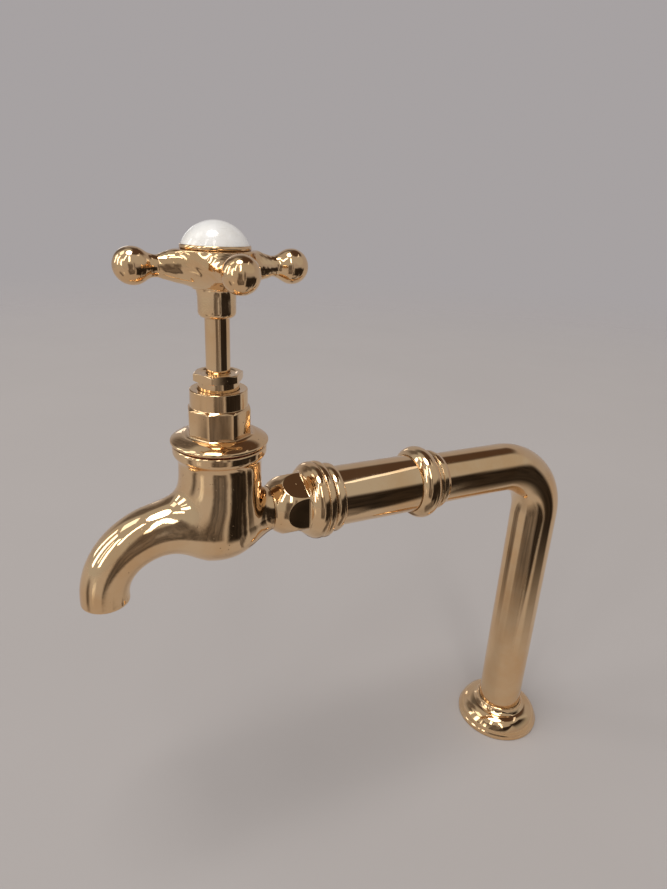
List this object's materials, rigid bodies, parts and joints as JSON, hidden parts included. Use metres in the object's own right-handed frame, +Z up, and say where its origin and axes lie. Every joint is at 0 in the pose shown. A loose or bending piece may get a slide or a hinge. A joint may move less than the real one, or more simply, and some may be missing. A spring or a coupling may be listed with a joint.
{
  "type": "bib tap",
  "caption": "Long-reach brass bib tap on its own bent stand pipe, with a union nut, a rising spindle and a cross handle topped by a plain white china dome.",
  "frame": {"origin": "middle of the base flange's underside, on the stand pipe's axis, where the tap rests on the worktop", "axes": "+Z up along the stand pipe and the spindle; the arm and the spout point to -Y; X is across, and the tap is the same on both sides of X = 0 apart from where its nuts stopped"},
  "size_m": [0.063, 0.2309, 0.3194],
  "materials": {
    "polished_brass": "polished, not lacquered",
    "cast_brass": "cast, ground and polished",
    "turned_brass": "turned",
    "black_rubber": "matt",
    "red_fibre": "pressed fibre",
    "packing_cord": "greased cord",
    "white_china": "gloss glaze"
  },
  "bodies": {
    "tap": {"elbow_pipe": "polished_brass", "base_flange": "polished_brass", "base_gasket": "black_rubber", "deck_tail": "turned_brass", "deck_washer": "black_rubber", "clamp_washer": "turned_brass", "back_nut": "turned_brass", "knuckle_ring": "polished_brass", "arm_sleeve": "polished_brass", "union_socket": "polished_brass", "union_washer": "red_fibre", "union_tail": "turned_brass", "union_nut": "polished_brass", "tap_body": "cast_brass", "bonnet_washer": "red_fibre", "bonnet": "polished_brass", "gland_packing": "packing_cord", "gland_ring": "turned_brass", "gland_nut": "polished_brass"},
    "valve": {"jumper": "turned_brass", "tap_washer": "black_rubber", "washer_nut": "turned_brass"},
    "handle": {"spindle": "turned_brass", "cross_handle": "cast_brass", "handle_washer": "turned_brass", "handle_screw": "turned_brass", "index_ferrule": "polished_brass", "china_index": "white_china"}
  },
  "joints": [
    {"name": "valve_lift", "type": "slide", "parent": "tap", "child": "valve", "axis": [0, 0, 1], "range_m": [0, 0.00794]},
    {"name": "handle_turn", "type": "hinge", "parent": "valve", "child": "handle", "pos_m": [0, -0.1585, 0.22], "axis": [0, 0, 1], "range_deg": [0, 900]}
  ],
  "couplings": [
    {"joint": "valve_lift", "follows": "handle_turn", "m_per_rad": 0.00050532}
  ]
}
